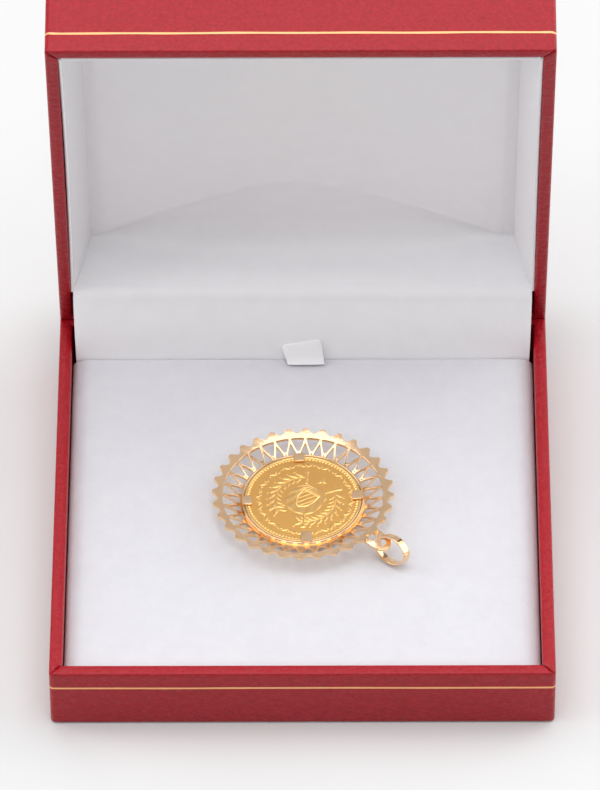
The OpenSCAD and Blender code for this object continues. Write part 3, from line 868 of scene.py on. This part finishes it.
def cut_sheet(outlines, thickness, bevel):
    """A flat sheet between outlines, in millimetres, with its middle at height 0 and softened edges."""
    curve = bpy.data.curves.new("sheet_outline", "CURVE")
    curve.dimensions, curve.fill_mode = "2D", "BOTH"
    curve.extrude, curve.bevel_depth = (thickness / 2 - bevel), bevel
    curve.bevel_resolution, curve.offset = 1, -bevel
    for outline in outlines:
        spline = curve.splines.new("POLY")
        spline.points.add(len(outline) - 1)
        spline.points.foreach_set("co", [part for x, y in outline for part in (x, y, 0, 1)])
        spline.use_cyclic_u = True
    holder = bpy.data.objects.new("sheet_outline", curve)
    mesh = bpy.data.meshes.new_from_object(holder)
    bpy.data.objects.remove(holder)
    shape = bmesh.new()
    shape.from_mesh(mesh)
    bmesh.ops.remove_doubles(shape, verts=shape.verts, dist=0.002)
    bmesh.ops.recalc_face_normals(shape, faces=shape.faces)
    shape.to_mesh(mesh)
    shape.free()
    return mesh


def slice_faces(mesh, planes):
    """Cuts a sheet's faces along planes, each a point and a direction, so that the sheet bends smoothly."""
    shape = bmesh.new()
    shape.from_mesh(mesh)
    for place, direction in planes:
        everything = [*shape.verts, *shape.edges, *shape.faces]
        bmesh.ops.bisect_plane(shape, geom=everything, dist=1e-5, plane_co=place, plane_no=direction)
    shape.to_mesh(mesh)
    shape.free()


def dish_height(radius):
    """The height of the dished plate's middle, and its slope, at a radius."""
    share = (radius - bezel_outside) / dish_reach
    height = dish_low + dish_rise * ((1 + dish_bow) * share - dish_bow * share**2)
    return height, dish_rise / dish_reach * (1 + dish_bow - 2 * dish_bow * share)


sheet_lines = [scallop_edge(), ring_line(bezel_outside - 0.12, 192)]
for number in range(scallops):
    knot_way = first_scallop + (number + 0.5) * pitch
    sheet_lines.append(wide_gap(knot_way))
    sheet_lines.append(narrow_gap(first_scallop + number * pitch))
    sheet_lines.append(ring_line(knot_hole, 10, polar(knot_radius, knot_way)))
plate_mesh = cut_sheet(sheet_lines, plate_thickness, plate_bevel)
half_pitches = [first_scallop + number * pitch / 2 for number in range(scallops)]
slice_faces(plate_mesh, [((0, 0, 0), (*polar(1, 90 + way), 0)) for way in half_pitches])
flat_faces = [abs(face.normal.z) > 0.99 for face in plate_mesh.polygons]
flat_signs = [1 if face.normal.z > 0 else -1 for face in plate_mesh.polygons]
plate_points = np.array([vertex.co for vertex in plate_mesh.vertices])
plate_radii = np.hypot(plate_points[:, 0], plate_points[:, 1])
plate_points[:, 2] += dish_height(plate_radii)[0] - plate_lean * plate_points[:, 1]
plate_mesh.vertices.foreach_set("co", ((plate_points + pendant) * MM).ravel())
plate_mesh.materials.clear()
plate_mesh.materials.append(rose)
plate_mesh.shade_smooth()
plate_mesh.set_sharp_from_angle(angle=math.radians(35))
loop_normals = []
for face, flat, sign in zip(plate_mesh.polygons, flat_faces, flat_signs):
    for corner in face.vertices:
        if flat:
            x, y = plate_points[corner, :2]
            slope, radius = dish_height(plate_radii[corner])[1], plate_radii[corner]
            normal = Vector((-slope * x / radius, -slope * y / radius, 1)).normalized() * sign
            loop_normals.append(tuple(normal))
        else:
            loop_normals.append((0, 0, 0))
plate_mesh.normals_split_custom_set(loop_normals)
plate_piece = bpy.data.objects.new("openwork_plate", plate_mesh)
bpy.context.scene.collection.objects.link(plate_piece)
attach(plate_piece, "base")

# The bezel
# A turned band of rose gold holds the coin on an inner ledge, under a rounded lip. The plate is
# soldered to it.
ledge_radius, ledge_height, lip_height, bezel_steps = 10.05, 0.76, 2.0, 256
bezel_section = [(ledge_radius, 0.0), (bezel_outside - 0.05, 0.0)]
bezel_section += [(bezel_outside, height) for height in (0.05, 0.6, 1.4, lip_height)]
for inset, rise in ((0.02, 0.06), (0.07, 0.1), (0.17, 0.12), (0.27, 0.1), (0.33, 0.06)):
    bezel_section.append((bezel_outside - inset, lip_height + rise))
bezel_section += [(bezel_inside, lip_height), (bezel_inside, ledge_height), (ledge_radius, ledge_height)]


def over_pad(x, y, rise):
    """A point by its place from the pendant's middle and its height over the pad."""
    return (x + pendant[0], y + pendant[1], rise + pendant[2])


bezel_points = []
for radius, rise in bezel_section:
    bezel_points += [over_pad(x, y, rise) for x, y in ring_line(radius, bezel_steps)]
bezel_faces = tube_grid(len(bezel_section), bezel_steps)
make_piece("bezel_band", bezel_points, bezel_faces, rose, "base", 40)

# Claws
# Four flat claws stand on the bezel and are folded down over the coin's rim. The one at the front and
# the one at the right are longer than the other two.
claw_root, claw_first_way, claw_lift, claw_droop, claw_crown = 10.9, 3.9, 2.33, 0.05, 0.03
claw_stretch = (1.25, 1.1, 1.06, 1.5)
claw_line = [(9.22, -0.8), (9.22, 0.8), (9.32, 0.95), (9.5, 1.0), (claw_root, 1.02), (claw_root, -1.02)]
claw_line += [(9.5, -1.0), (9.32, -0.95)]
claw_shape = cut_sheet([claw_line], 0.28, 0.06)
claw_points, claw_faces = [], []
for number, stretch in enumerate(claw_stretch):
    start = len(claw_points)
    for vertex in claw_shape.vertices:
        reach, aside, rise = vertex.co
        reach = claw_root - (claw_root - reach) * stretch
        rise += claw_lift - claw_droop * (claw_root - reach) + claw_crown * (1 - aside * aside)
        claw_points.append(over_pad(*polar(reach, claw_first_way + 90 * number, aside), rise))
    claw_faces += [tuple(start + corner for corner in face.vertices) for face in claw_shape.polygons]
make_piece("bezel_claws", claw_points, claw_faces, rose, "base", 35)

# The eyelet
# A flat loop, cut from the same gold, is soldered to the plate's rim. Its two arms meet in a ring that
# leans a little to the front.
loop_way = bail_way + 1.7
eye_reach, eye_lift, eye_tilt = 18.2, 2.8, math.radians(10)
eye_hole, eye_thickness, eye_bevel = 0.88, 0.5, 0.1
loop_start, loop_outside, loop_bend = 15.1, 1.78, 3.0


def from_bail_axis(along, aside, rise):
    """A point by its reach along the bail's direction, how far aside, and its height over the pad."""
    return over_pad(*polar(along, loop_way, aside), rise)


half_turn = [math.radians(-90 + 10 * step) for step in range(19)]
eye_line = [(loop_start, -loop_outside - 0.15), (16.2, -loop_outside - 0.08)]
eye_line += [(eye_reach + loop_outside * math.cos(a), loop_outside * math.sin(a)) for a in half_turn]
eye_line += [(16.2, loop_outside + 0.08), (loop_start, loop_outside + 0.15)]
eye_gap = [(15.5, -0.62), (15.6, -0.72), (16.2, -0.82), (16.75, -0.84), (16.92, -0.7), (16.86, -0.4)]
eye_gap += [(16.72, 0), (16.5, 0.35), (16.15, 0.58), (15.6, 0.66), (15.5, 0.56)]
eye_rim = ring_line(eye_hole, 28, (eye_reach, 0))
eye_shape = cut_sheet([eye_line, eye_gap, eye_rim], eye_thickness, eye_bevel)
slice_faces(eye_shape, [((loop_start + 0.25 * (step + 1), 0, 0), (1, 0, 0)) for step in range(12)])
eye_points = []
for vertex in eye_shape.vertices:
    along, aside, rise = vertex.co
    free = smooth((along - loop_start) / loop_bend)
    height = dish_height(loop_start)[0] * (1 - free) + eye_lift * free
    height += rise + free * aside * math.sin(eye_tilt)
    eye_points.append(from_bail_axis(along, aside * (1 - 0.06 * free), height))
eye_faces = [tuple(face.vertices) for face in eye_shape.polygons]
eyelet = make_piece("eyelet", eye_points, eye_faces, rose, "base", 14)
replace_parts(eyelet, "pendant_frame")

# The bail
# A loop of flat band for the chain hangs in the eyelet and stands on its edge. Two saw cuts across
# its outer end mark off a flatter, polished face.
bail_reach, bail_long, bail_short, bail_band = 20.62, 3.38, 2.55, 0.34
bail_lean, bail_roll, bail_rise = math.radians(1.8), math.radians(20.4), 2.66
bail_steps, bail_cuts, cut_depth, cut_width, flattening = 300, (16, 57), 0.2, 1.7, 0.14
band_section = [(0.0, -0.7), (0.0, 0.7), (0.02, 0.79), (0.07, 0.84), (0.25, 0.85), (0.31, 0.83)]
band_section += [(bail_band, 0.76), (bail_band, -0.76), (0.31, -0.83), (0.25, -0.85), (0.07, -0.84)]
band_section.append((0.02, -0.79))
bail_points = []
for step in range(bail_steps):
    a = math.radians(360 * step / bail_steps)
    outline = np.array([bail_long * math.cos(a), bail_short * math.sin(a)])
    off = np.array([bail_short * math.cos(a), bail_long * math.sin(a)])
    off /= np.linalg.norm(off)
    bearing = math.degrees(math.atan2(outline[1], outline[0]))
    between = (bearing - bail_cuts[0]) / (bail_cuts[1] - bail_cuts[0])
    taken = flattening * math.sin(math.pi * between) if 0 < between < 1 else 0.0
    taken += sum(cut_depth * math.exp(-(((bearing - at) / cut_width) ** 2)) for at in bail_cuts)
    for depth, w in band_section:
        u, v = outline - off * (depth + (taken if depth < 0.12 else 0))
        s = u * math.cos(bail_lean) - v * math.sin(bail_lean)
        t = u * math.sin(bail_lean) + v * math.cos(bail_lean)
        aside = w * math.cos(bail_roll) + t * math.sin(bail_roll)
        rise = t * math.cos(bail_roll) - w * math.sin(bail_roll)
        bail_points.append(from_bail_axis(bail_reach + s, aside, bail_rise + rise))
bail_faces = tube_grid(bail_steps, len(band_section))
bail = make_piece("bail_loop", bail_points, bail_faces, rose, "base", 38)
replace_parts(bail, "bail")

# Hinge
# Two small leaves of brushed steel and their barrel hide in the back walls. They keep the shape of
# the part's own solids.
steel, steel_shader = new_finish("hinge_steel", (0.56, 0.54, 0.50), 0.35, 1.0)
emboss(steel, steel_shader, noise_of(steel, 3.0, 2, 0.5, (0.1, 1, 1)), 0.02)
for leaf_name in ("hinge_base", "hinge_lid"):
    bpy.data.objects[leaf_name].data.materials.clear()
    bpy.data.objects[leaf_name].data.materials.append(steel)
